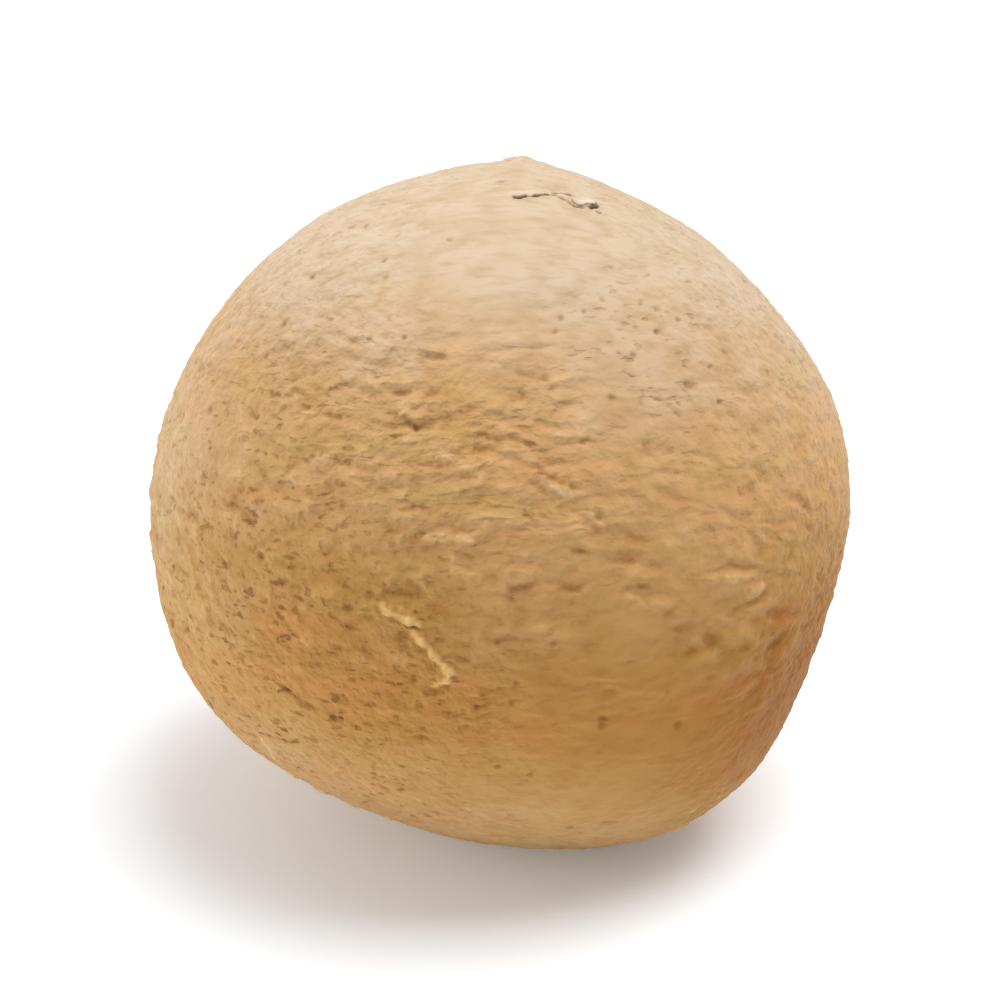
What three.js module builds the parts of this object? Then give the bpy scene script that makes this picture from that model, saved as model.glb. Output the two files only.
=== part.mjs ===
// A whole dried betel nut: the hard seed of the areca palm, husked and left uncut.
//
// Millimetres, +Z up. The nut stands as it would be set down, on its flattened lower
// end, with its low pointed tip uppermost and leaning a little to the back (+Y).
// +X runs across its widest direction, and -Y is the front. The origin is on the
// resting surface, under the middle of the nut.

import * as THREE from 'three';
import { mergeVertices } from 'three/addons/utils/BufferGeometryUtils.js';

// ---- Driving dimensions ----

const WIDTH = 28.0; // overall, along X
const DEPTH = 27.5; // overall, along Y
const HEIGHT = 26.7; // overall, along Z, from the resting spot to the tip
const REST_RADIUS = 3.6; // the flat spot that the nut stands on

// The seed's pointed end is a low cone that melts into the round body.
const TIP = { azimuth: 78, elevation: 72, height: 0.4, reach: 22 };

// Soft swellings (height > 0) and flatter stretches (height < 0) of the round body. Each
// has the direction of its middle, its height, and how far it spreads before it fades.
const LOBES = [
  { where: 'full shoulder, low on the right', azimuth: -34, elevation: -46, height: 1.1, spread: 17 },
  { where: 'flatter stretch above that shoulder', azimuth: -11, elevation: -19, height: -0.45, spread: 16 },
  { where: 'flatter stretch, high on the right', azimuth: 22, elevation: 36, height: -0.5, spread: 20 },
  { where: 'full cheek, low on the left', azimuth: -161, elevation: -31, height: 0.45, spread: 15 },
  { where: 'flatter stretch below that cheek', azimuth: -139, elevation: -51, height: -0.4, spread: 18 },
  { where: 'flatter stretch, high on the left', azimuth: 166, elevation: 28, height: -0.3, spread: 22 },
  { where: 'full cheek at the back', azimuth: 112, elevation: -12, height: 0.3, spread: 34 },
  { where: 'flatter stretch, low at the back', azimuth: 150, elevation: -38, height: -0.3, spread: 22 },
];

// Seen from above, the outline is not quite round: three faint sides, as the seed grew
// pressed against the walls of its husk.
const SIDES = { count: 3, height: 0.09, turn: 35 };

// Each edge of the icosahedron under the mesh is cut into DETAIL + 1 parts, which leaves
// triangles about 0.8 mm across.
const DETAIL = 19;

// ---- Directions ----

const radians = THREE.MathUtils.degToRad;

// The unit vector at an azimuth from +X towards +Y and an elevation above the horizontal.
function direction({ azimuth, elevation }) {
  const level = Math.cos(radians(elevation));
  return new THREE.Vector3(
    level * Math.cos(radians(azimuth)),
    level * Math.sin(radians(azimuth)),
    Math.sin(radians(elevation)),
  );
}

// ---- The round body ----

const halfSize = new THREE.Vector3(WIDTH, DEPTH, HEIGHT).multiplyScalar(0.5);
const tipDirection = direction(TIP);
const lobes = LOBES.map((lobe) => ({ ...lobe, middle: direction(lobe) }));

// Distance from the centre to an ellipsoid's surface along a unit vector.
function ellipsoidRadius(unit) {
  return 1 / unit.clone().divide(halfSize).length();
}

// A lobe's height at an angle from its middle: a smooth bell.
function lobeHeight(lobe, unit) {
  const away = unit.angleTo(lobe.middle) / radians(lobe.spread);
  return lobe.height * Math.exp(-0.5 * away * away);
}

// The tip's height: straight-sided near its point, fading to nothing at its reach.
function tipHeight(unit) {
  const away = Math.min(unit.angleTo(tipDirection) / radians(TIP.reach), 1);
  return TIP.height * (1 - away) ** 1.6;
}

// The faint sides, strongest round the waist and gone at both ends.
function sidesHeight(unit) {
  const waist = 1 - unit.z * unit.z;
  const around = Math.atan2(unit.y, unit.x) - radians(SIDES.turn);
  return SIDES.height * waist * Math.cos(SIDES.count * around);
}

function bodyRadius(unit) {
  const swelling = lobes.reduce((sum, lobe) => sum + lobeHeight(lobe, unit), 0);
  return ellipsoidRadius(unit) + swelling + tipHeight(unit) + sidesHeight(unit);
}

// ---- The nut ----

function nutGeometry() {
  // Only the positions are kept, so that triangles meeting at a corner share its vertex.
  const ball = new THREE.IcosahedronGeometry(1, DETAIL);
  ball.deleteAttribute('normal');
  ball.deleteAttribute('uv');
  const geometry = mergeVertices(ball, 1e-3);

  // Every vertex moves out along its own direction to the body's surface, and none goes
  // below the level where the underside is REST_RADIUS wide.
  const floor = -halfSize.z * Math.sqrt(1 - (REST_RADIUS / halfSize.x) ** 2);
  const position = geometry.attributes.position;
  const point = new THREE.Vector3();
  for (let i = 0; i < position.count; i += 1) {
    point.fromBufferAttribute(position, i).normalize();
    point.multiplyScalar(bodyRadius(point));
    position.setXYZ(i, point.x, point.y, Math.max(point.z, floor));
  }

  // Bring it to its exact overall size, and stand it on the origin.
  geometry.computeBoundingBox();
  const size = geometry.boundingBox.getSize(new THREE.Vector3());
  geometry.scale(WIDTH / size.x, DEPTH / size.y, HEIGHT / size.z);
  geometry.computeBoundingBox();
  const middle = geometry.boundingBox.getCenter(new THREE.Vector3());
  geometry.translate(-middle.x, -middle.y, -geometry.boundingBox.min.z);
  geometry.computeVertexNormals();
  return geometry;
}

const skin = new THREE.MeshStandardMaterial({ color: 0xc49a66, roughness: 0.8, metalness: 0 });
const nut = new THREE.Mesh(nutGeometry(), skin);
nut.name = 'nut';

const betelNut = new THREE.Group();
betelNut.name = 'betel_nut';
betelNut.add(nut);

export default betelNut;
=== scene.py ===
# %% [markdown]
# # A dried betel nut
#
# This is the seed of the areca palm after its husk is stripped off: a hard round nut
# about as big as a large marble. Its skin dried and shrank on it, so it is puckered
# into short wrinkles that run round the nut in rings, and dotted with pits and pores.
#
# The shape of the nut comes ready made, at its true size, as the node "nut". Here it
# gets its skin, in the order in which the real one got it: first the full, smooth
# seed, then the puckers of drying, then the marks that only this nut has, and last
# its colours. A floor, two lights and a camera finish the scene.

# %% Load the ready-made shape
import math

import bpy
import numpy as np
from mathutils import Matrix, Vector, noise


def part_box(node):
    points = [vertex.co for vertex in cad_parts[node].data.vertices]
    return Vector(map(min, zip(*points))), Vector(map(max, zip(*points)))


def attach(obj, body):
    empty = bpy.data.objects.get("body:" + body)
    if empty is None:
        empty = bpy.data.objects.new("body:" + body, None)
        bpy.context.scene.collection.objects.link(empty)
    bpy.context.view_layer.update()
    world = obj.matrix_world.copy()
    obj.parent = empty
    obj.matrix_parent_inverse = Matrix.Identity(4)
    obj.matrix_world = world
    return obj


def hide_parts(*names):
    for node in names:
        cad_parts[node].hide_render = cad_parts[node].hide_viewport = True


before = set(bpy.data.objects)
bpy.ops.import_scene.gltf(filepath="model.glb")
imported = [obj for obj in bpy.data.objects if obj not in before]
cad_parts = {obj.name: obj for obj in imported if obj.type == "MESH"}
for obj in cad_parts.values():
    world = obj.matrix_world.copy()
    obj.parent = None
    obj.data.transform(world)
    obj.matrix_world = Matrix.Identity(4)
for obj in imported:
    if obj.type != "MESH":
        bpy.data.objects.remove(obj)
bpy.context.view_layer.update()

# %% Measure it
# Blender works in metres, and a nut is better thought of in millimetres.
MM = 0.001

low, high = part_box("nut")
middle = (low + high) / 2
width, depth, height = high - low
print(f"the nut is {width / MM:.1f} mm wide, {depth / MM:.1f} deep and {height / MM:.1f} high")

# %% [markdown]
# ## The camera
#
# The nut is looked at from the front and a little above, as a person at a table sees
# it. A long lens from some way off keeps a round thing round: from close by, its rim
# would hide behind its own bulge.

# %% Set up the camera
LOOKING_DOWN = math.radians(28)
CAMERA_DISTANCE = 0.30  # metres
NUT_IN_PICTURE = 0.70  # the share of the picture's width that the nut fills

towards_camera = Vector((0, -math.cos(LOOKING_DOWN), math.sin(LOOKING_DOWN)))
bpy.ops.object.camera_add(
    location=middle + towards_camera * CAMERA_DISTANCE,
    rotation=(math.radians(90) - LOOKING_DOWN, 0, 0),
)
camera = bpy.context.object
camera.name = "camera"
camera.data.lens = camera.data.sensor_width * CAMERA_DISTANCE * NUT_IN_PICTURE / width
camera.data.clip_start = 0.01
bpy.context.scene.camera = camera
print(f"the lens is {camera.data.lens:.0f} mm long")

# %% [markdown]
# ## The smooth body
#
# A ball can be made in several ways. A UV sphere has poles where long thin faces crowd
# together, and wrinkles made there would come out as a star. A ball blown up from a
# cube has no poles and all its faces are nearly square and of one size, so it takes
# fine relief equally well all over. That suits a nut with skin all round.
#
# The corners of a plain subdivided cube would land closer together than the middles of
# its sides. Spacing the cuts by the tangent of their angle evens that out.

# %% Blow a cube up to a ball
SQUARES = 30  # along each edge of the cube

bpy.ops.object.select_all(action="DESELECT")
bpy.ops.mesh.primitive_cube_add(size=2, location=middle)
skin = bpy.context.object
skin.name = "nut_skin"

bpy.ops.object.mode_set(mode="EDIT")
bpy.ops.mesh.select_all(action="SELECT")
bpy.ops.mesh.subdivide(number_cuts=SQUARES - 1)
bpy.ops.object.mode_set(mode="OBJECT")
for corner in skin.data.vertices:
    corner.co = [math.tan(side * math.pi / 4) for side in corner.co]
bpy.ops.object.mode_set(mode="EDIT")
bpy.ops.mesh.select_all(action="SELECT")
bpy.ops.transform.tosphere(value=1)
bpy.ops.object.mode_set(mode="OBJECT")

radius_now = skin.data.vertices[0].co.length
skin.scale = [width / 2 / radius_now] * 3
bpy.ops.object.transform_apply(location=True, rotation=True, scale=True)
print(f"the ball has {len(skin.data.polygons)} faces")

# %% [markdown]
# Shrinkwrap lays the ball's corners on the nut's true surface. It is done while the
# ball is still coarse, because the two rounds of Subdivision Surface that follow
# then smooth away the flat facets of the shape underneath.

# %% Wrap it on the nut and subdivide it
def apply_modifier(piece, kind, **settings):
    """Adds a modifier to the piece, with its settings, and applies it."""
    modifier = piece.modifiers.new(kind.title(), kind)
    for name, value in settings.items():
        setattr(modifier, name, value)
    bpy.context.view_layer.objects.active = piece
    bpy.ops.object.modifier_apply(modifier=modifier.name)


apply_modifier(
    skin, "SHRINKWRAP",
    target=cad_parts["nut"],
    wrap_method="PROJECT",
    use_negative_direction=True,
    use_positive_direction=True,
)
apply_modifier(skin, "SUBSURF", levels=2, render_levels=2)
print(f"the smooth skin has {len(skin.data.polygons)} faces")

# %% [markdown]
# ## Finding a place on the nut
#
# A place on a round thing is best given as on a globe: an azimuth round it, from +X
# towards +Y, and a latitude up it. Only near the top do azimuths crowd together, so
# there a place is given by how far right and how far back of the topmost point it is.
#
# Both kinds of address end as a point on the mean ball, a ball of the nut's mean
# radius. To compare them with the mesh, its corners are projected onto that ball too.
# Then a distance between two points is a distance along the skin, near enough.

# %% Addresses on the mean ball
MEAN_RADIUS = (width + depth + height) / 6 / MM


def at(azimuth, latitude):
    """The point at an azimuth and a latitude, in degrees."""
    azimuth, latitude = math.radians(azimuth), math.radians(latitude)
    level = math.cos(latitude)
    outward = (level * math.cos(azimuth), level * math.sin(azimuth), math.sin(latitude))
    return MEAN_RADIUS * np.array(outward)


def on_top(right, back):
    """The point so many millimetres right and back of the topmost one."""
    return np.array((right, back, math.sqrt(MEAN_RADIUS ** 2 - right ** 2 - back ** 2)))


def on_mean_ball(flat_places):
    """Places in metres, one after another in a flat list, each projected onto the mean ball."""
    away = np.reshape(flat_places, (-1, 3)) - np.array(middle)
    return MEAN_RADIUS * away / np.linalg.norm(away, axis=1, keepdims=True)


def read_all(elements, name, numbers_each):
    """One property of all the vertices or faces of a mesh, as a flat list."""
    values = np.empty(len(elements) * numbers_each)
    elements.foreach_get(name, values)
    return values


def distance(points, line):
    """How far each point is from a line through some places, or from one place alone."""
    nearest = np.full(len(points), np.inf)
    for start, end in zip(line, line[1:] or line):
        along = end - start
        share = np.clip((points - start) @ along / max(along @ along, 1e-9), 0, 1)
        gap = np.linalg.norm(points - start - share[:, None] * along, axis=1)
        nearest = np.minimum(nearest, gap)
    return nearest


UNEVENNESS = 0.09  # how far the edge of a mark strays, in millimetres
RAGGED = 0.16  # the same for a torn edge
STRAY_LENGTH = 0.22


def distance_to_any(points, lines, ragged=UNEVENNESS):
    """How far each point is from the nearest of some lines, with an uneven edge to it."""
    nearest = np.min([distance(points, line) for line in lines], axis=0)
    for number in np.flatnonzero(nearest < 1.0):
        nearest[number] += ragged * noise.noise(Vector(points[number]) / STRAY_LENGTH)
    return nearest


# %% [markdown]
# ## The marks of this nut
#
# Every nut has been knocked about, and each mark tells how. This one split a little at
# its tip as it dried, and the skin's edge came up there in a small loose flake. Lower
# down in front it has a pale scar, where a shred of husk has torn away. The rest are
# creases, short dashes and low ridges along the rings, single pits, and crumbs of skin
# on its lower edge.
#
# Each mark is a line of points, listed one by one. A pit is a line of one point.

# %% Write down where the marks are
crack = [
    on_top(0.58, 0.22), on_top(0.80, 0.16), on_top(1.05, 0.32),
    on_top(1.30, 0.33), on_top(1.60, 0.53), on_top(1.90, 0.66),
]
thin_crack = [
    on_top(1.90, 0.66), on_top(2.22, 0.76), on_top(2.46, 0.64),
    on_top(2.78, 0.46), on_top(3.02, 0.18), on_top(3.36, 0.18),
]
thin_crack_behind = [on_top(2.16, 0.95), on_top(2.50, 1.05), on_top(2.86, 1.04)]
gap_under_flake = [on_top(3.40, 0.20), on_top(3.66, 0.34), on_top(3.92, 0.62)]
flake = [on_top(3.22, 0.66), on_top(3.56, 0.86)]
lip = [on_top(0.55, 0.55), on_top(1.05, 0.62), on_top(1.50, 0.82)]
nub = [[on_top(0.42, 5.2), on_top(0.42, 6.4)], [on_top(0.85, 5.1), on_top(0.85, 6.5)]]
nub_peak = [[on_top(1.15, 5.2), on_top(1.15, 6.4)]]
dash_on_top = [on_top(-0.14, 1.60), on_top(0.12, 1.70), on_top(0.37, 1.73)]
dot_on_top = [on_top(4.00, 0.13)]
top_cracks = [crack, thin_crack, thin_crack_behind, gap_under_flake, dash_on_top, dot_on_top]

scar_ridges = [
    [at(-109.2, 9.0), at(-107.6, 8.2), at(-104.6, 7.5), at(-103.2, 6.9)],
    [at(-104.0, 5.3), at(-101.8, 3.4), at(-99.7, 0.7), at(-97.4, -0.9)],
    [at(-97.6, -1.2), at(-98.6, -2.6), at(-100.2, -3.5)],
]
scar_knots = [
    [at(-108.2, 8.4)], [at(-104.6, 7.4)], [at(-102.9, 4.5)], [at(-100.6, 1.6)], [at(-98.0, -0.6)],
]
scar_hollows = [
    [at(-106.4, 4.6), at(-105.4, 3.0)], [at(-98.8, -4.0), at(-100.4, -4.9)], [at(-96.0, 1.2)],
    [at(-109.3, 12.2)], [at(-112.0, 10.5)], [at(-104.0, -3.0)],
]

creases = [
    [at(-82.3, 32.4), at(-79.0, 30.6), at(-76.0, 29.3)],
    [at(-87.7, 38.3), at(-85.4, 37.2), at(-83.0, 36.7)],
    [at(-94.2, 38.9), at(-91.1, 38.3)], [at(-85.4, 25.5), at(-82.2, 25.0)],
    [at(-85.0, 49.0), at(-79.6, 48.4), at(-78.0, 46.7)], [at(-110.4, 51.0), at(-104.4, 51.6)],
    [at(-114.2, 40.5), at(-110.6, 39.8), at(-107.9, 38.8)], [at(-77.5, 19.3), at(-75.0, 18.5)],
    [at(-129.7, -11.5), at(-125.1, -12.9), at(-122.3, -13.6)],
    [at(-119.6, -14.0), at(-117.5, -14.1)], [at(-88.0, 13.4), at(-85.2, 13.6)],
    [at(-80.5, 13.3), at(-76.8, 12.9)], [at(-68.6, 11.8), at(-64.8, 11.4)],
]
dashes = [
    [at(-130.6, 41.5), at(-127.5, 42.2)], [at(-106.9, 44.8), at(-104.6, 45.1)],
    [at(-114.5, 44.0), at(-112.1, 44.1)], [at(-128.2, 37.4), at(-125.1, 37.9)],
    [at(-135.2, 36.6), at(-133.8, 37.2)], [at(-139.2, 35.6), at(-137.7, 36.2)],
    [at(-144.6, 36.4), at(-142.0, 37.0)], [at(-121.9, 34.5), at(-120.8, 34.8)],
    [at(-128.6, 30.1), at(-126.2, 30.7)], [at(-104.2, 33.2), at(-101.5, 32.9)],
    [at(-53.9, 40.7), at(-52.3, 39.2), at(-50.8, 37.0)], [at(-68.2, -39.1), at(-65.9, -39.2)],
    [at(-60.6, 34.0), at(-59.4, 34.2)], [at(-73.1, 36.6), at(-71.9, 36.8)],
    [at(-137.9, -25.9), at(-134.1, -25.4)], [at(-126.8, -22.0), at(-124.0, -21.6)],
    [at(-132.9, -20.0), at(-130.8, -19.7)], [at(-145.8, -29.3), at(-141.8, -28.2)],
    [at(-104.4, -15.1), at(-102.5, -15.0)], [at(-113.2, -24.8)],
]
small_pits = [
    [at(-141.9, 6.7)], [at(-115.2, 5.1)], [at(-133.3, -6.6)], [at(-97.3, -1.9)], [at(-107.6, -4.5)],
    [at(-117.0, -0.2)], [at(-126.8, 20.5)], [at(-135.9, -18.0)], [at(-113.6, -26.9)], [at(-88.2, 12.1)],
    [at(-81.1, -11.3)], [at(-72.5, -18.1)], [at(-87.1, -3.0)], [at(-90.1, -20.8)], [at(-105.0, -33.6)],
    [at(-81.5, 4.2)], [at(-90.4, 4.5)], [at(-147.9, 45.0)], [at(-171.5, 44.4)], [at(176.7, 64.1)],
    [at(-179.0, 66.5)], [at(-70.0, 58.5)], [at(-53.7, 60.2)], [at(-42.2, 56.9)], [at(-38.9, 54.6)],
    [at(-54.7, 48.9)], [at(-45.3, 40.8)], [at(-73.3, 56.3)], [at(-155.8, 46.5)], [at(-153.4, 40.9)],
    [at(-156.7, 71.0)], [at(-127.0, 75.5)], [at(-146.0, 65.9)], [at(-138.2, 63.4)], [at(-163.6, 55.3)],
    [at(-117.8, 53.7)], [at(-127.1, 51.7)], [at(-125.5, 56.8)], [at(-159.9, 27.3)], [at(-111.8, 36.7)],
    [at(-44.2, 51.2)], [at(-61.7, 59.1)], [at(-39.7, 36.0)], [at(-36.7, 41.8)], [at(-35.3, 51.3)],
    [at(-29.4, 42.4)], [at(-40.7, 65.2)], [at(-93.8, -7.4)], [at(-102.7, -12.7)], [at(-95.4, -11.8)],
    [at(-61.8, -8.0)], [at(-72.1, -43.7)], [at(-84.8, -22.8)], [at(-108.8, -30.0)], [at(-88.0, -6.4)],
    [at(-98.6, -9.8)], [at(-75.0, -40.3)], [at(-102.8, -36.9)],
]
large_pits = [
    [at(-116.2, 7.6), at(-115.2, 7.4)], [at(-72.6, 24.2)], [at(-64.6, 42.7)],
    [at(-117.7, -9.6), at(-116.5, -9.6)], [at(-133.6, 11.4)], [at(-113.4, -30.7), at(-112.7, -31.5)],
    [at(-73.0, -11.2), at(-73.0, -12.4)], [at(-58.9, -15.6)], [at(-45.2, 41.1), at(-44.4, 40.7)],
]
small_ridges = [
    [at(-104.4, 34.9), at(-99.4, 34.6)], [at(-98.4, 33.8), at(-95.6, 32.8)],
    [at(-102.5, 21.4), at(-94.8, 21.6)], [at(-82.0, 31.0), at(-77.6, 28.2)],
    [at(-73.6, 24.8), at(-71.9, 22.6)], [at(-93.8, -4.7)], [at(-50.6, 8.8), at(-48.9, 8.5)],
    [at(-46.2, 4.7), at(-43.2, 5.0)], [at(-68.9, 10.7), at(-66.7, 9.2)],
    [at(-106.8, 0.6), at(-106.2, -0.4), at(-104.4, 0.4)], [at(-96.1, -33.5)], [at(-91.0, -47.5)],
    [at(-105.4, -32.1)], [at(-139.9, -27.9), at(-140.2, -31.2), at(-141.9, -36.4)],
    [at(-93.0, -44.4)], [at(-88.4, -46.4)],
]
crumbs = [
    [at(-45.5, -48.0), at(-43.0, -47.5)], [at(-47.6, -39.7)], [at(-42.0, -38.2)], [at(-37.0, -35.7)],
    [at(-141.0, -40.0)], [at(-137.0, -43.5), at(-135.0, -43.0)], [at(-128.0, -46.0)], [at(-120.0, -49.0)],
]

# %% [markdown]
# A crack is a fifth of a millimetre wide, and so is one face of the skin. So before any
# mark is made, the faces under it are cut smaller. Doing this only where it is needed
# keeps the whole mesh light.

# %% Cut the faces smaller under the marks
def select_only(elements, chosen, kind):
    """Goes into edit mode with just the chosen vertices or faces of the skin selected."""
    bpy.context.view_layer.objects.active = skin
    bpy.ops.object.mode_set(mode="EDIT")
    bpy.ops.mesh.select_mode(type=kind)
    bpy.ops.mesh.select_all(action="DESELECT")
    bpy.ops.object.mode_set(mode="OBJECT")
    elements.foreach_set("select", chosen)
    bpy.ops.object.mode_set(mode="EDIT")


def cut_smaller(lines, reach, cuts):
    """Cuts up the faces that lie within reach of some lines, in millimetres."""
    faces = skin.data.polygons
    centres = on_mean_ball(read_all(faces, "center", 3))
    select_only(faces, distance_to_any(centres, lines) < reach, "FACE")
    bpy.ops.mesh.subdivide(number_cuts=cuts)
    bpy.ops.object.mode_set(mode="OBJECT")


cut_smaller(top_cracks + [flake, lip], reach=0.38, cuts=3)
cut_smaller(scar_ridges, reach=0.42, cuts=2)
cut_smaller(nub, reach=0.50, cuts=1)
others = creases + dashes + small_pits + large_pits + scar_hollows + small_ridges + crumbs
cut_smaller(others, reach=0.27, cuts=1)
print(f"with the places for the marks cut up, the skin has {len(skin.data.polygons)} faces")

# %% [markdown]
# The marks will be made last, on top of the wrinkles, and the material will need to
# know where they are. So each vertex now keeps three numbers, each from 0 outside a
# mark to 1 in its middle: how far it is inside a crack, a brown pit or a pale edge.

# %% Keep where the marks are
def closeness(lines, reach, ragged=UNEVENNESS):
    """1 on the lines, falling smoothly to 0 at reach, for every vertex of the skin."""
    corners = on_mean_ball(read_all(skin.data.vertices, "co", 3))
    inside = np.clip(1 - distance_to_any(corners, lines, ragged) / reach, 0, 1)
    return inside * inside * (3 - 2 * inside)


def keep(name, numbers):
    """Keeps a number for every vertex of the skin, under a name."""
    layer = skin.data.attributes.new(name, "FLOAT", "POINT")
    layer.data.foreach_set("value", numbers)
    print(f"{name}: {np.count_nonzero(numbers)} vertices are marked")


# Cracked also says where painted shade fills the cracks and the gap under the flake.
keep("cracked", np.max([
    closeness([crack, gap_under_flake[1:], dot_on_top], 0.14),
    closeness([thin_crack, thin_crack_behind, dash_on_top], 0.12) * 0.5,
], axis=0))
# Brown is partly darker skin in the pits, partly painted shade in creases, dashes and scar hollows.
keep("brown", np.max([
    closeness(creases, 0.20, RAGGED) * 0.5,
    closeness(dashes, 0.17) * 0.5,
    closeness(small_pits, 0.20, RAGGED) * 0.65,
    closeness(large_pits + scar_hollows, 0.27, RAGGED) * 0.6,
], axis=0))
# Pale is partly paler skin and partly a painted highlight on the ridges, the lip and the flake.
keep("pale", np.max([
    closeness(scar_ridges, 0.23),
    closeness(scar_knots, 0.26, RAGGED),
    closeness([flake], 0.50) * 0.35,
    closeness([lip], 0.30) * 0.2,
    closeness(small_ridges, 0.24, RAGGED) * 0.4,
    closeness(crumbs, 0.35) * 0.7,
], axis=0))

# %% [markdown]
# ## Numbers that live on a surface
#
# The relief and the colours both follow patterns: a wrinkle is a dip in the mesh and a
# dark line of painted shade in the material. Both are worked out by nodes, Geometry
# Nodes for the mesh and shader nodes for the material, and the two kinds of tree share
# the same noise and maths nodes. So each pattern is written once, as a function, and
# used in both trees.
#
# Wiring nodes one by one in code is hard to read. The small class below holds one
# node's output and lets it be added and multiplied like a number.

# %% A calculator made of nodes
class Field:
    """A number or a vector at every point of the skin: the output of a node."""

    def __init__(self, tree, socket):
        self.tree = tree
        self.socket = socket

    def through(self, kind, inputs, output=0, **settings):
        """The output of a new node, with its inputs given by name or number."""
        node = self.tree.nodes.new(kind)
        for name, value in settings.items():
            setattr(node, name, value)
        for name, value in inputs.items():
            if isinstance(value, Field):
                self.tree.links.new(value.socket, node.inputs[name])
            else:
                node.inputs[name].default_value = value
        return Field(self.tree, node.outputs[output])

    def maths(self, operation, *numbers):
        inputs = dict(enumerate((self, *numbers)))
        return self.through("ShaderNodeMath", inputs, operation=operation)

    def __add__(self, other):
        return self.maths("ADD", other)

    def __sub__(self, other):
        return self.maths("SUBTRACT", other)

    def __mul__(self, other):
        return self.maths("MULTIPLY", other)

    def stretched(self, x, y, z):
        """A vector with each of its parts multiplied."""
        return self.through("ShaderNodeVectorMath", {0: self, 1: (x, y, z)}, operation="MULTIPLY")

    def shifted(self, other):
        """A vector with another one added."""
        return self.through("ShaderNodeVectorMath", {0: self, 1: other}, operation="ADD")

    def away_from(self, spot):
        """How far a place is from a spot."""
        return self.through("ShaderNodeVectorMath", {0: self, 1: spot}, output=1, operation="DISTANCE")

    def part(self, axis):
        return self.through("ShaderNodeSeparateXYZ", {0: self}, output=axis)

    def rising(self, start, end, low=0.0, high=1.0):
        """Smoothly from low to high as the number goes from start to end."""
        inputs = {"Value": self, "From Min": start, "From Max": end, "To Min": low, "To Max": high}
        return self.through("ShaderNodeMapRange", inputs, interpolation_type="SMOOTHSTEP")

    def mixed(self, other, share, how="MIX"):
        """This colour, with a share of another one laid over it or multiplied into it.

        A Mix node takes its share at input 0 and its two colours at inputs 6 and 7.
        """
        inputs = {0: share, 6: self, 7: other}
        return self.through("ShaderNodeMix", inputs, output=2, data_type="RGBA", blend_type=how)

    def washed(self, tint, share):
        """This colour, with a share of a tint multiplied into it."""
        return self.mixed((*tint, 1), share, "MULTIPLY")


def soft_noise(place, size, detail=0.0, roughness=0.5):
    """Soft noise from about -1 to 1, whose bumps are about size millimetres across."""
    inputs = {"Vector": place, "Scale": 1 / size, "Detail": detail, "Roughness": roughness}
    return place.through("ShaderNodeTexNoise", inputs, normalize=False)


def bent(place, size, by):
    """The place, moved about by up to so many millimetres, so that patterns on it wander."""
    inputs = {"Vector": place, "Scale": 1 / size, "Detail": 1.0}
    swing = place.through("ShaderNodeTexNoise", inputs, output=1, normalize=False)
    return place.shifted(swing.stretched(by, by, by))


# %% [markdown]
# ## Where things are on the nut, for the patterns
#
# Two addresses are stored on the smooth skin, before anything moves it. The first is
# the plain place, in millimetres from the nut's middle. The second is the place along
# the rings. The rings run round the line through the nut's tip, and the nut lies with
# its tip leaning back. So the place is first turned upright. Then its height is
# measured along the skin, as latitude is on a globe, and its other two parts are
# squeezed. A pattern of round spots on the squeezed address comes out as spots drawn
# long round the nut, as its wrinkles are.

# %% Name the two addresses
TIP_LEANS_BACK = math.radians(21)
ALONG_RINGS = 2.2  # how many times longer than high a wrinkle is


def addresses(position):
    """The plain place and the place along the rings, from a position in metres."""
    to_middle = tuple(-part for part in middle)
    place = position.shifted(to_middle).stretched(1 / MM, 1 / MM, 1 / MM)
    outward = place.through("ShaderNodeVectorMath", {0: place}, operation="NORMALIZE")
    upright = {"Vector": outward, "Center": (0, 0, 0), "Angle": TIP_LEANS_BACK}
    outward = place.through("ShaderNodeVectorRotate", upright, rotation_type="X_AXIS")
    along_skin = outward.part("Z").maths("ARCSINE") * MEAN_RADIUS
    across = MEAN_RADIUS / ALONG_RINGS
    inputs = {"X": outward.part("X") * across, "Y": outward.part("Y") * across, "Z": along_skin}
    return place, place.through("ShaderNodeCombineXYZ", inputs)


# %% [markdown]
# ## The patterns of the skin
#
# All heights are in millimetres, outwards. On the real nut the wrinkles are coarsest in
# a broad band in front, below the smooth pale cap round the tip. To the left they break
# up into fine pits, and low on the right the skin is nearly smooth.

# %% Say how strong each pattern is, and where
# The azimuth and latitude of the middle of each stretch of skin that differs.
SMOOTH_LOW = (-65, -18)
SMOOTH_TOP = (-80, 74)
SOFT_RIGHT = (-48, 33)
SOFT_END = (-2, 14)
RIPPLED_RIGHT = (-46, 12)
FOLDED_MIDDLE = (-86, 22)
WRINKLED_FRONT = (-107, 29)
PITTED_LEFT = (-138, -16)
PITTED_HIGH = (-136, 34)
PITTED_TOP = (-50, 54)


def around(place, azimuth, latitude, reach):
    """1 at a spot on the nut, fading smoothly to 0 at its reach in millimetres."""
    return place.away_from(tuple(at(azimuth, latitude))).rising(reach, 0.0)


def patchy(place, size, low):
    """Uneven patches: from low, where a pattern nearly dies out, to 1 where it is full."""
    return soft_noise(place, size, detail=1.0).rising(-0.4, 0.4, low)


def folded(place, rings):
    """How strong the soft folds are: 0 for a smooth skin, and about 1 over most of the nut."""
    below_cap = rings.part("Z").rising(12.0, 4.0, low=0.1)
    above_foot = rings.part("Z").rising(-10.5, -3.0, low=0.2)
    rippled = around(place, *RIPPLED_RIGHT, 8.0) * 0.5 + around(place, *FOLDED_MIDDLE, 5.5) * 0.5
    soft = around(place, *SOFT_RIGHT, 9.0) * 0.6 + around(place, *SOFT_END, 9.0) * 0.6
    return (rippled - soft + 1.0) * below_cap * above_foot * patchy(place, 3.0, low=0.5)


def wrinkled(place):
    """How strong the sharp wrinkles are, most of all in front."""
    return around(place, *WRINKLED_FRONT, 12.0) * 0.72 + 0.18


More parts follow.
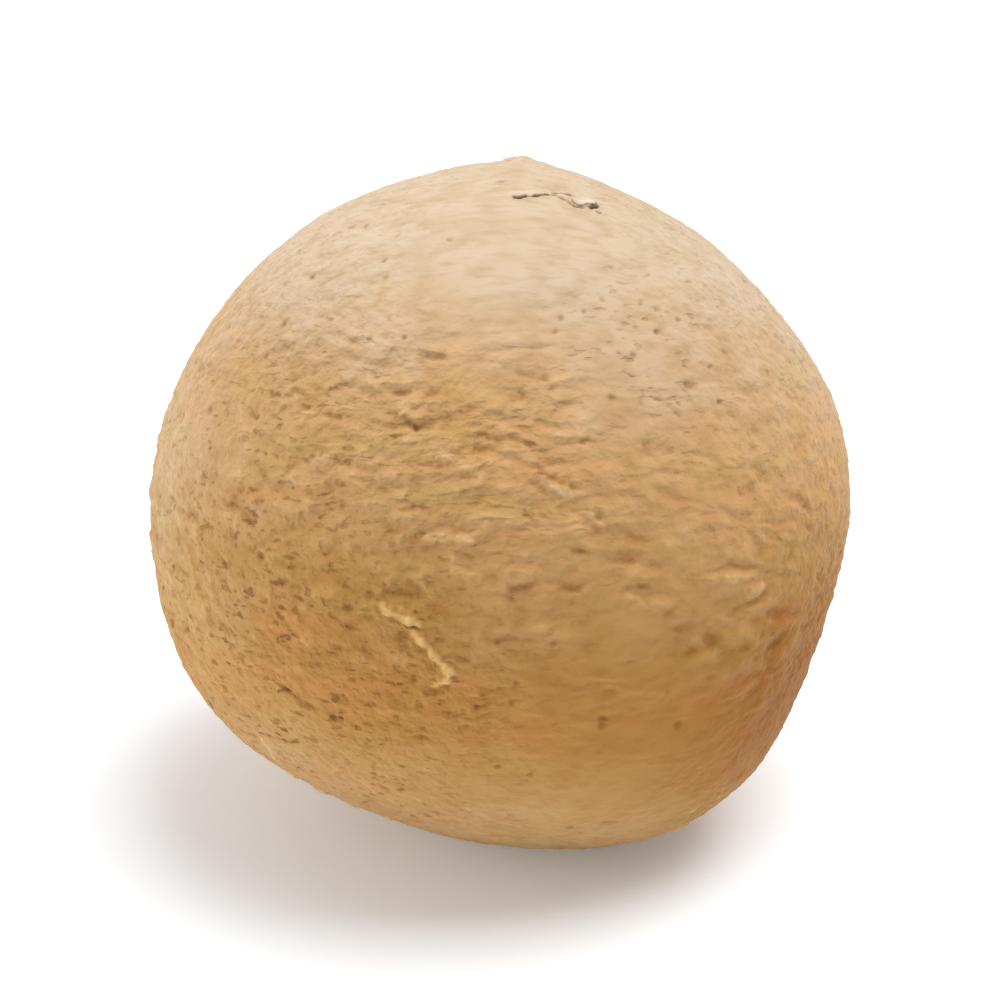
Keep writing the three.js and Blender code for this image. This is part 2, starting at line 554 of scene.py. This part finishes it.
def pitted(place):
    """How thickly the skin is pitted, most of all on the left."""
    smooth = around(place, *SMOOTH_LOW, 12.0) + around(place, *SMOOTH_TOP, 10.0)
    above = around(place, *PITTED_TOP, 6.0) * 0.6 + around(place, *PITTED_HIGH, 7.0) * 0.4
    more = around(place, *PITTED_LEFT, 16.0) + above
    return (more * 0.75 + 0.38 - smooth * 0.38) * patchy(place.shifted((5, 0, 0)), 1.6, low=0.25)


def rough(place):
    """How rough the finest grain is."""
    smooth = around(place, *SMOOTH_LOW, 13.0) * 0.6 + around(place, *SMOOTH_TOP, 11.0) * 0.8
    return (smooth + around(place, *SOFT_RIGHT, 12.0) * 0.5).rising(1.0, 0.0)


# %% Describe the folds, wrinkles, pits and grain
def lumps(place, rings):
    """The broad unevenness under the wrinkles, and slow ripples on the right."""
    ripples = soft_noise(rings.shifted((0, 7, 0)), size=0.85)
    rippling = around(place, *RIPPLED_RIGHT, 9.0) * 0.12 + 0.02
    return soft_noise(place, size=4.0, detail=1.0) * 0.08 + ripples * rippling


def folds(rings):
    """Soft folds along the rings."""
    return soft_noise(rings, size=0.62) * 0.12 + soft_noise(rings.shifted((7, 0, 0)), size=0.38) * 0.09


def wrinkles(rings):
    """Short sharp ridges along the rings, and the dents between them."""
    ridges = soft_noise(rings.shifted((0, 0, 9)), size=0.37).rising(0.05, 0.55) * 0.12
    dents = soft_noise(rings.shifted((0, 9, 0)), size=0.33).rising(0.15, 0.60) * 0.08
    return ridges - dents


def pits(rings):
    """Fine uneven pits, close together and a little long: 0 outside, 1 inside."""
    return soft_noise(rings.stretched(1.1, 1.1, 1.0), size=0.26, detail=1.0).rising(0.20, 0.55)


def pores(place):
    """Small round holes, here and there: 0 outside, 1 inside."""
    inputs = {"Vector": place, "Scale": 1 / 0.9}
    distance = place.through("ShaderNodeTexVoronoi", inputs)
    chance = place.through("ShaderNodeTexVoronoi", inputs, output="Color").part("X")
    return distance.rising(0.16, 0.05) * chance.rising(0.5, 0.9)


def grain(place):
    """Fine unevenness all over, a little longer than high."""
    return soft_noise(place.stretched(0.85, 0.85, 1.0), size=0.27, detail=1.5) * 0.05


def fine_relief(place, rings):
    """The height of all that is finer than a lump."""
    wandering = bent(rings, size=1.2, by=0.30)
    raised = (folds(wandering) + wrinkles(wandering) * wrinkled(place)) * folded(place, rings)
    holes = (pits(rings) * 0.07 + pores(place) * 0.07) * pitted(place)
    return raised - holes + grain(place) * rough(place)


# %% [markdown]
# ## The relief
#
# Displacing a mesh can be done with Displace modifiers and textures, or with Geometry
# Nodes. Displace modifiers can't follow the rings of a ball, so a small Geometry Nodes
# tree stores both addresses as attributes of the mesh, where the material can read
# them later, and then moves every point out or in along its normal.
#
# Wrinkles would break up the fine marks that come next, so they are lower there. At
# the flat spot under the nut the whole relief fades out, so that the nut stands firmly.

# %% Raise the relief
WRINKLES_LEFT_ON_MARKS = 0.6
FADED_ABOVE_FOOT = 0.6  # millimetres

relief = bpy.data.node_groups.new("skin relief", "GeometryNodeTree")
relief.interface.new_socket("Geometry", in_out="INPUT", socket_type="NodeSocketGeometry")
relief.interface.new_socket("Geometry", in_out="OUTPUT", socket_type="NodeSocketGeometry")
mesh_in = Field(relief, relief.nodes.new("NodeGroupInput").outputs[0])
position = Field(relief, relief.nodes.new("GeometryNodeInputPosition").outputs[0])
outwards = Field(relief, relief.nodes.new("GeometryNodeInputNormal").outputs[0])


def stored(mesh, name, value, kind):
    """The mesh with a number or a vector kept on its points under a name."""
    inputs = {"Geometry": mesh, "Name": name, "Value": value}
    return mesh.through("GeometryNodeStoreNamedAttribute", inputs, data_type=kind, domain="POINT")


def kept(tree, name, kind):
    """A number or a vector that was kept on the mesh under a name."""
    node = tree.nodes.new("GeometryNodeInputNamedAttribute")
    node.data_type = kind
    node.inputs["Name"].default_value = name
    return Field(tree, node.outputs["Attribute"])


place, rings = addresses(position)
mesh = stored(stored(mesh_in, "place", place, "FLOAT_VECTOR"), "rings", rings, "FLOAT_VECTOR")
place, rings = kept(relief, "place", "FLOAT_VECTOR"), kept(relief, "rings", "FLOAT_VECTOR")
marked = kept(relief, "cracked", "FLOAT") + kept(relief, "pale", "FLOAT")

lowered = marked.rising(0.0, 1.0, low=1.0, high=WRINKLES_LEFT_ON_MARKS)
raised = lumps(place, rings) + fine_relief(place, rings) * lowered
foot_level = -height / 2 / MM
raised = raised * place.part("Z").rising(foot_level, foot_level + FADED_ABOVE_FOOT)
mesh = stored(mesh, "raised", raised, "FLOAT")
raised = kept(relief, "raised", "FLOAT")
moved = outwards.through("ShaderNodeVectorMath", {0: outwards, "Scale": raised * MM}, operation="SCALE")
mesh = mesh.through("GeometryNodeSetPosition", {"Geometry": mesh, "Offset": moved})
relief.links.new(mesh.socket, relief.nodes.new("NodeGroupOutput").inputs[0])

apply_modifier(skin, "NODES", node_group=relief)
heights = read_all(skin.data.attributes["raised"].data, "value", 1)
print(f"the relief goes from {heights.min():.2f} to {heights.max():.2f} mm")

# %% [markdown]
# ## Making the marks
#
# This is sculpting done with two edit-mode tools. Shrink/Fatten with proportional
# editing moves the selected vertices along their normals and draws the skin round them
# along, as a thumb does in clay. Extrude lifts the flake off with walls of its own.

# %% Press the skin in and push it out
def press(lines, half_width, depth, soft, ragged=UNEVENNESS):
    """Presses the skin in along some lines, or raises it where the depth is negative.

    It goes to its full depth within half_width of a line, and fades out over soft.
    """
    corners = on_mean_ball(read_all(skin.data.vertices, "co", 3))
    select_only(skin.data.vertices, distance_to_any(corners, lines, ragged) < half_width, "VERT")
    bpy.ops.transform.shrink_fatten(
        value=-depth * MM,
        use_proportional_edit=True,
        proportional_edit_falloff="SMOOTH",
        proportional_size=soft * MM,
    )
    bpy.ops.object.mode_set(mode="OBJECT")


press(nub, half_width=0.22, depth=-0.11, soft=0.28)
press(nub_peak, half_width=0.10, depth=-0.16, soft=1.20)

press([lip], half_width=0.08, depth=-0.03, soft=0.30)
press([crack[:3]], half_width=0.025, depth=0.18, soft=0.09, ragged=0.05)
press([crack[2:]], half_width=0.02, depth=0.14, soft=0.08, ragged=0.05)
press([gap_under_flake[1:]], half_width=0.03, depth=0.16, soft=0.10, ragged=0.05)
press([thin_crack, thin_crack_behind, dash_on_top], half_width=0.02, depth=0.12, soft=0.10)
press([dot_on_top], half_width=0.05, depth=0.15, soft=0.13)

press(scar_hollows, half_width=0.10, depth=0.09, soft=0.28)
press(scar_ridges, half_width=0.11, depth=-0.12, soft=0.20)
press(scar_knots, half_width=0.12, depth=-0.09, soft=0.24, ragged=RAGGED)
press(small_ridges, half_width=0.08, depth=-0.06, soft=0.24, ragged=RAGGED)
press(small_pits, half_width=0.05, depth=0.08, soft=0.18)
press(large_pits, half_width=0.08, depth=0.11, soft=0.28)
press(creases, half_width=0.05, depth=0.09, soft=0.22)
press(dashes, half_width=0.04, depth=0.06, soft=0.18)
press(crumbs, half_width=0.10, depth=-0.12, soft=0.30)

# %% Lift the flake
LIFT = (0.01 * MM, -0.02 * MM, 0.05 * MM)  # of the whole flake
CURL = (0.03 * MM, -0.04 * MM, 0.08 * MM)  # of its front edge, on top of that

centres = on_mean_ball(read_all(skin.data.polygons, "center", 3))
select_only(skin.data.polygons, distance(centres, flake) < 0.32, "FACE")
bpy.ops.mesh.extrude_region_move(TRANSFORM_OT_translate={"value": LIFT})
bpy.ops.object.mode_set(mode="OBJECT")

front_of_flake = [on_top(3.62, 0.48), on_top(3.85, 0.66)]
corners = on_mean_ball(read_all(skin.data.vertices, "co", 3))
lifted = read_all(skin.data.vertices, "select", 1).astype(bool)
select_only(skin.data.vertices, lifted & (distance(corners, front_of_flake) < 0.15), "VERT")
bpy.ops.transform.translate(
    value=CURL,
    use_proportional_edit=True,
    use_proportional_connected=True,
    proportional_edit_falloff="SMOOTH",
    proportional_size=0.30 * MM,
)
bpy.ops.object.mode_set(mode="OBJECT")
bpy.ops.object.shade_smooth()
skin.data.calc_loop_triangles()
print(f"the finished skin has {len(skin.data.loop_triangles)} triangles")

# %% [markdown]
# ## The colours
#
# The skin is cream round the tip, tan in the middle and stained ochre lower down, with
# a lighter ring round the foot. The cream is partly the skin's own colour and partly
# painted light from above, and the lighter foot is partly painted light thrown up from
# the floor. Over that lie faint rosy and greenish bands and a fine mottling. Painted
# shade darkens the hollows, and a painted highlight lightens the crests.
#
# Such colours could be painted on an image, by hand. Here they are built up from the
# same patterns that raised the relief, so every dark line of painted shade lies exactly
# in its wrinkle.
# The ground is mixed first. Each wash over it multiplies the colour underneath, so a
# tint below 1 darkens it and a tint above 1 lightens it.

# %% Start the material
material = bpy.data.materials.new("nut skin")
material.use_nodes = True
colours = material.node_tree
shader = colours.nodes["Principled BSDF"]


def read(name, output="Vector"):
    """What is kept on the mesh under a name, in the material."""
    node = colours.nodes.new("ShaderNodeAttribute")
    node.attribute_name = name
    return Field(colours, node.outputs[output])


place, rings = read("place"), read("rings")
cracked, brown, pale = read("cracked", "Fac"), read("brown", "Fac"), read("pale", "Fac")

# %% Mix the ground colour
# The cream top and the lighter foot are partly painted light, from above and from the floor.
CREAM = (0.565, 0.435, 0.305, 1)
TAN = (0.538, 0.312, 0.130, 1)
OCHRE = (0.455, 0.215, 0.051, 1)
FOOT = (0.528, 0.302, 0.110, 1)

wavy = soft_noise(place, size=4.0, detail=2.0) * 2.0
level = rings.part("Z") + place.part("X") * 0.14 + wavy
ochre_node = colours.nodes.new("ShaderNodeRGB")
ochre_node.outputs[0].default_value = OCHRE
ground = Field(colours, ochre_node.outputs[0])
ground = ground.mixed(TAN, level.rising(-7.0, 3.0))
ground = ground.mixed(CREAM, level.rising(3.2, 12.6))
ground = ground.mixed(FOOT, level.rising(-7.5, -14.5))

# %% Tint it in bands and mottle it
ROSY = (1.03, 0.97, 0.96)
GREENISH = (0.96, 0.98, 0.88)
MOTTLED = (0.93, 0.90, 0.84)
STREAKED = (0.93, 0.90, 0.86)

bands = rings.stretched(0.5, 0.5, 1.0)
below_cap = rings.part("Z").rising(9.0, 1.0, low=0.3)
rosy = soft_noise(bands, size=1.8, detail=3.0).rising(0.0, 0.5)
green = soft_noise(bands.shifted((9, 0, 0)), size=1.8, detail=3.0).rising(0.0, 0.5)
mottling = soft_noise(place.stretched(0.5, 0.5, 1.0), size=0.6, detail=1.5).rising(-0.3, 0.5)
streaks = soft_noise(place.stretched(0.3, 1.0, 1.0), size=0.4, detail=3.0).rising(-0.1, 0.5)
on_cap = rings.part("Z").rising(4.0, 8.0)

ground = ground.washed(ROSY, rosy * below_cap).washed(GREENISH, green * below_cap)
ground = ground.washed(MOTTLED, mottling).washed(STREAKED, streaks * on_cap)

# %% Darken the hollows and lighten the crests
# Painted shade darkens the hollows, and a painted highlight lightens the crests.
HOLLOW_SHADE = (0.70, 0.53, 0.28)
CREST_HIGHLIGHT = (1.22, 1.28, 1.40)

height_of_skin = fine_relief(place, rings)
fading_on_cap = level.rising(4.0, 12.0, low=0.7, high=0.25)
shaded_and_worn = ground.washed(HOLLOW_SHADE, height_of_skin.rising(0.0, -0.12) * 0.5)
shaded_and_worn = shaded_and_worn.washed(CREST_HIGHLIGHT, height_of_skin.rising(0.02, 0.12) * fading_on_cap)

# %% [markdown]
# Some broad patches differ from the rest: painted light lightens the left side down to
# its lower edge, painted shade darkens and browns the skin low on the right, and between
# the middle and the left the skin is a little dull. Last come the fine pits and the
# marks, by the pattern that sank the pits and the numbers that were kept on the mesh for
# the marks. Their browns and pale tints are partly the skin's own colours and partly
# painted shade and painted highlight, and the cracks are filled with painted shade.

# %% Add the patches and the marks
# The azimuth and latitude of the middle of each patch.
LIGHT_LEFT = (-178, 8)
LIGHT_LOWER = (-158, -10)
LIGHT_LOWEST = (-141, -22)
SHADED_LOW_RIGHT = (-28, -18)
DULL_MIDDLE = (-114, 20)
DULL_HIGH = (-150, 38)

# Painted light for the left side, painted shade for the lower right and the cracks.
PAINTED_LEFT_LIGHT = (1.12, 1.32, 1.75)
PAINTED_SHADE_RIGHT = (0.72, 0.53, 0.15)
DULL = (0.95, 0.95, 0.94)
PIT_BROWN = (0.58, 0.45, 0.24)
PALE_AND_HIGHLIT = (1.50, 1.82, 2.50)
CRACK_SHADE = (0.100, 0.052, 0.012, 1)

# Painted light on the left side, down to its lower edge.
left_light = around(place, *LIGHT_LEFT, 10.5) + around(place, *LIGHT_LOWER, 9.5) * 0.6
left_light = left_light + around(place, *LIGHT_LOWEST, 7.5) * 0.5
shaded_and_worn = shaded_and_worn.washed(PAINTED_LEFT_LIGHT, left_light)
# Painted shade darkens and browns the skin low on the right.
shaded_and_worn = shaded_and_worn.washed(PAINTED_SHADE_RIGHT, around(place, *SHADED_LOW_RIGHT, 11.0))
shaded_and_worn = shaded_and_worn.washed(DULL, around(place, *DULL_MIDDLE, 9.0) + around(place, *DULL_HIGH, 7.0))
# The fine pits get a brown that is partly darker skin and partly painted shade.
shaded_and_worn = shaded_and_worn.washed(PIT_BROWN, pits(rings) * pitted(place) * 0.5)
# The marks' brown holds painted shade as well as darker skin, and their pale a painted highlight.
shaded_and_worn = shaded_and_worn.washed(PIT_BROWN, brown + cracked).washed(PALE_AND_HIGHLIT, pale)
# Painted shade fills the cracks and the gap under the flake.
shaded_and_worn = shaded_and_worn.mixed(CRACK_SHADE, cracked * 0.8)
colours.links.new(shaded_and_worn.socket, shader.inputs["Base Color"])

# %% [markdown]
# A dried skin is matt, but not like chalk: seen along its surface, it brightens, from
# the fine fuzz of fibres that the husk left on it. Sheen gives that. The mesh has no
# faces small enough for the finest grain, so a Bump node adds it to the shading, on
# top of the wrinkles that are really there.

# %% Set the finish
shader.inputs["Roughness"].default_value = 0.85
shader.inputs["Specular IOR Level"].default_value = 0.2
shader.inputs["Sheen Weight"].default_value = 0.12
shader.inputs["Sheen Roughness"].default_value = 0.5
shader.inputs["Sheen Tint"].default_value = (1.0, 0.94, 0.84, 1)

WRINKLE_SHARPNESS = 0.8
FINEST_GRAIN = 0.012  # millimetres

finest = soft_noise(place, size=0.12, detail=1.0) * FINEST_GRAIN * rough(place)
bump = colours.nodes.new("ShaderNodeBump")
bump.inputs["Distance"].default_value = MM
colours.links.new((height_of_skin * WRINKLE_SHARPNESS + finest).socket, bump.inputs["Height"])
colours.links.new(bump.outputs[0], shader.inputs["Normal"])
skin.data.materials.append(material)
print(f"the skin's material has {len(colours.nodes)} nodes")

# %% Put the skin in the shape's place
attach(skin, "root")
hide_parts("nut")

# %% [markdown]
# ## The studio
#
# The nut lies on a sheet of white acrylic that is lit a little from below, as small
# goods are often shown, so its shadow stays pale. A large softbox hangs above it on the
# right: light from so wide a source wraps round the nut and still brings out the
# wrinkles. A white card on the left throws some light back on the shaded side.

# %% Lay the floor
FLOOR_SIZE = 1.2  # metres
GLOW_FROM_BELOW = 0.14

bpy.ops.object.select_all(action="DESELECT")
bpy.ops.mesh.primitive_plane_add(size=FLOOR_SIZE, location=(0, 0, low.z))
floor = bpy.context.object
floor.name = "floor"
acrylic = bpy.data.materials.new("lit white acrylic")
acrylic.use_nodes = True
acrylic_shader = acrylic.node_tree.nodes["Principled BSDF"]
acrylic_shader.inputs["Base Color"].default_value = (0.88, 0.925, 0.97, 1)
acrylic_shader.inputs["Roughness"].default_value = 0.9
acrylic_shader.inputs["Emission Color"].default_value = (1, 1, 1, 1)
acrylic_shader.inputs["Emission Strength"].default_value = GLOW_FROM_BELOW
floor.data.materials.append(acrylic)


# %% Hang the lights
def hang(name, place, size, power):
    """Hangs a square light at a place, in metres, and turns it to the nut."""
    bpy.ops.object.light_add(type="AREA", location=place)
    light = bpy.context.object
    light.name = name
    light.data.shape = "SQUARE"
    light.data.size = size
    light.data.energy = power
    light.rotation_euler = (middle - light.location).to_track_quat("-Z", "Y").to_euler()
    print(f"the {name} is {size} m wide and gives {power} W")


hang("softbox", place=(0.30, 0.05, 0.95), size=0.8, power=10.4)
hang("card", place=(-0.60, -0.15, 0.10), size=0.6, power=2.0)

# %% [markdown]
# The rest of the light comes from the white walls of the room, and more of it from
# behind and from the left than from the camera's side. A world's colours are looked up
# by direction, so that's one more smooth step, this time over the direction.
#
# The Standard view transform shows each colour just as it was mixed, and white as
# white. The default one would grey the floor.

# %% Light the room
studio = bpy.data.worlds.new("studio")
studio.use_nodes = True
room = studio.node_tree
walls = room.nodes["Background"]
walls.inputs["Color"].default_value = (1, 1, 1, 1)
direction = Field(room, room.nodes.new("ShaderNodeTexCoord").outputs["Generated"])
behind_and_left = direction.part("Y") - direction.part("X") * 0.6
brightness = behind_and_left.rising(-1.0, 0.1, low=0.12, high=0.75)
room.links.new(brightness.socket, walls.inputs["Strength"])
bpy.context.scene.world = studio
bpy.context.scene.view_settings.view_transform = "Standard"
